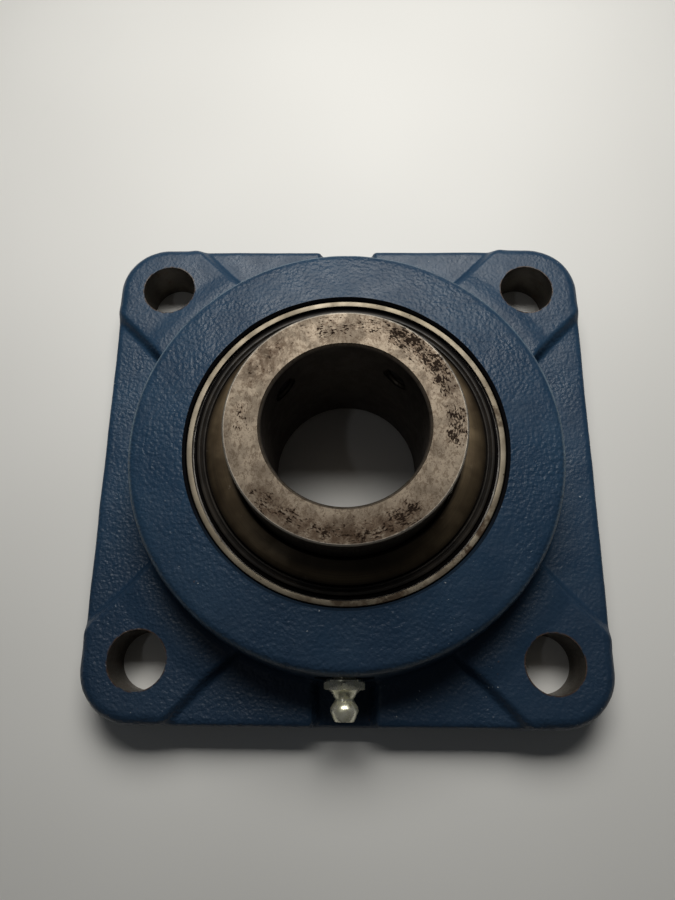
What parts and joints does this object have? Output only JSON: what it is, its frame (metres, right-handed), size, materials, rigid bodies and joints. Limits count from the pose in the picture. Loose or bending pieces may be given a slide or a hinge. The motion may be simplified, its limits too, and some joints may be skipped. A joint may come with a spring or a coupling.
{
  "type": "flange mount bearing",
  "caption": "Square cast flange unit holding a self-aligning ball bearing insert with a set-screw collar, seals and a grease nipple, for carrying a shaft through a flat wall or frame.",
  "frame": {"origin": "where the bearing axis crosses the back mounting face of the flange", "axes": "+Z along the shaft axis out of the front, -Y towards the grease nipple, +X to the right seen from the front with the nipple at the bottom"},
  "size_m": [0.132, 0.132, 0.044],
  "materials": {
    "blue_enamel_casting": "satin blue enamel over a fine cast-iron skin",
    "ground_bearing_steel": "ground, warm grey",
    "ground_collar_steel": "ground, with brown storage stains and pitting",
    "cage_sheet_steel": "pressed sheet",
    "seal_rubber": "oily black nitrile",
    "seal_plate_steel": "pressed sheet",
    "slinger_dark_steel": "dark bronze-brown pressed sheet",
    "black_screw_steel": "black oxide",
    "pin_steel": "ground",
    "zinc_plated_nipple": "yellow-passivated zinc plate",
    "ball_steel": "polished",
    "spring_wire": "drawn wire"
  },
  "bodies": {
    "housing": {"housing": "blue_enamel_casting", "grease_nipple": "zinc_plated_nipple", "nipple_spring": "spring_wire"},
    "locating_pin": {"locating_pin": "pin_steel"},
    "outer_ring": {"outer_ring": "ground_bearing_steel", "front_seal": "seal_rubber", "front_seal_plate": "seal_plate_steel", "rear_seal": "seal_rubber", "rear_seal_plate": "seal_plate_steel"},
    "inner_ring": {"inner_ring": "ground_collar_steel", "front_slinger": "slinger_dark_steel", "rear_slinger": "slinger_dark_steel"},
    "cage": {"cage_front": "cage_sheet_steel", "cage_rear": "cage_sheet_steel", "cage_rivet_1": "cage_sheet_steel", "cage_rivet_2": "cage_sheet_steel", "cage_rivet_3": "cage_sheet_steel", "cage_rivet_4": "cage_sheet_steel", "cage_rivet_5": "cage_sheet_steel", "cage_rivet_6": "cage_sheet_steel", "cage_rivet_7": "cage_sheet_steel", "cage_rivet_8": "cage_sheet_steel", "cage_rivet_9": "cage_sheet_steel"},
    "ball_1": {"ball_1": "ball_steel"},
    "ball_2": {"ball_2": "ball_steel"},
    "ball_3": {"ball_3": "ball_steel"},
    "ball_4": {"ball_4": "ball_steel"},
    "ball_5": {"ball_5": "ball_steel"},
    "ball_6": {"ball_6": "ball_steel"},
    "ball_7": {"ball_7": "ball_steel"},
    "ball_8": {"ball_8": "ball_steel"},
    "ball_9": {"ball_9": "ball_steel"},
    "set_screw_1": {"set_screw_1": "black_screw_steel"},
    "set_screw_2": {"set_screw_2": "black_screw_steel"},
    "nipple_check_ball": {"nipple_check_ball": "ball_steel"}
  },
  "joints": [
    {"name": "align_about_x", "type": "hinge", "parent": "housing", "child": "locating_pin", "pos_m": [0, 0, 0.02], "axis": [1, 0, 0], "range_deg": [-3, 3]},
    {"name": "align_about_y", "type": "hinge", "parent": "locating_pin", "child": "outer_ring", "pos_m": [0, 0, 0.02], "axis": [0, 1, 0], "range_deg": [-3, 3]},
    {"name": "shaft_spin", "type": "hinge", "parent": "outer_ring", "child": "inner_ring", "pos_m": [0, 0, 0.02], "axis": [0, 0, 1], "continuous": true},
    {"name": "cage_spin", "type": "hinge", "parent": "outer_ring", "child": "cage", "pos_m": [0, 0, 0.02], "axis": [0, 0, 1], "continuous": true},
    {"name": "ball_1_roll", "type": "hinge", "parent": "cage", "child": "ball_1", "pos_m": [0.03, 0, 0.02], "axis": [0, 0, 1], "continuous": true},
    {"name": "ball_2_roll", "type": "hinge", "parent": "cage", "child": "ball_2", "pos_m": [0.02298, 0.01928, 0.02], "axis": [0, 0, 1], "continuous": true},
    {"name": "ball_3_roll", "type": "hinge", "parent": "cage", "child": "ball_3", "pos_m": [0.00521, 0.02954, 0.02], "axis": [0, 0, 1], "continuous": true},
    {"name": "ball_4_roll", "type": "hinge", "parent": "cage", "child": "ball_4", "pos_m": [-0.015, 0.02598, 0.02], "axis": [0, 0, 1], "continuous": true},
    {"name": "ball_5_roll", "type": "hinge", "parent": "cage", "child": "ball_5", "pos_m": [-0.02819, 0.01026, 0.02], "axis": [0, 0, 1], "continuous": true},
    {"name": "ball_6_roll", "type": "hinge", "parent": "cage", "child": "ball_6", "pos_m": [-0.02819, -0.01026, 0.02], "axis": [0, 0, 1], "continuous": true},
    {"name": "ball_7_roll", "type": "hinge", "parent": "cage", "child": "ball_7", "pos_m": [-0.015, -0.02598, 0.02], "axis": [0, 0, 1], "continuous": true},
    {"name": "ball_8_roll", "type": "hinge", "parent": "cage", "child": "ball_8", "pos_m": [0.00521, -0.02954, 0.02], "axis": [0, 0, 1], "continuous": true},
    {"name": "ball_9_roll", "type": "hinge", "parent": "cage", "child": "ball_9", "pos_m": [0.02298, -0.01928, 0.02], "axis": [0, 0, 1], "continuous": true},
    {"name": "set_screw_1_travel", "type": "slide", "parent": "inner_ring", "child": "set_screw_1", "axis": [0.6361, 0.7716, 0], "range_m": [-0.0012, 0.003]},
    {"name": "set_screw_2_travel", "type": "slide", "parent": "inner_ring", "child": "set_screw_2", "axis": [-0.7716, 0.6361, 0], "range_m": [-0.0012, 0.003]},
    {"name": "check_ball_travel", "type": "slide", "parent": "housing", "child": "nipple_check_ball", "axis": [0, 1, 0], "range_m": [0, 0.0009], "deforming": ["nipple_spring"]}
  ],
  "couplings": [
    {"joint": "cage_spin", "follows": "shaft_spin", "ratio": 0.4},
    {"joint": "ball_1_roll", "follows": "shaft_spin", "ratio": -2.4},
    {"joint": "ball_2_roll", "follows": "shaft_spin", "ratio": -2.4},
    {"joint": "ball_3_roll", "follows": "shaft_spin", "ratio": -2.4},
    {"joint": "ball_4_roll", "follows": "shaft_spin", "ratio": -2.4},
    {"joint": "ball_5_roll", "follows": "shaft_spin", "ratio": -2.4},
    {"joint": "ball_6_roll", "follows": "shaft_spin", "ratio": -2.4},
    {"joint": "ball_7_roll", "follows": "shaft_spin", "ratio": -2.4},
    {"joint": "ball_8_roll", "follows": "shaft_spin", "ratio": -2.4},
    {"joint": "ball_9_roll", "follows": "shaft_spin", "ratio": -2.4}
  ]
}
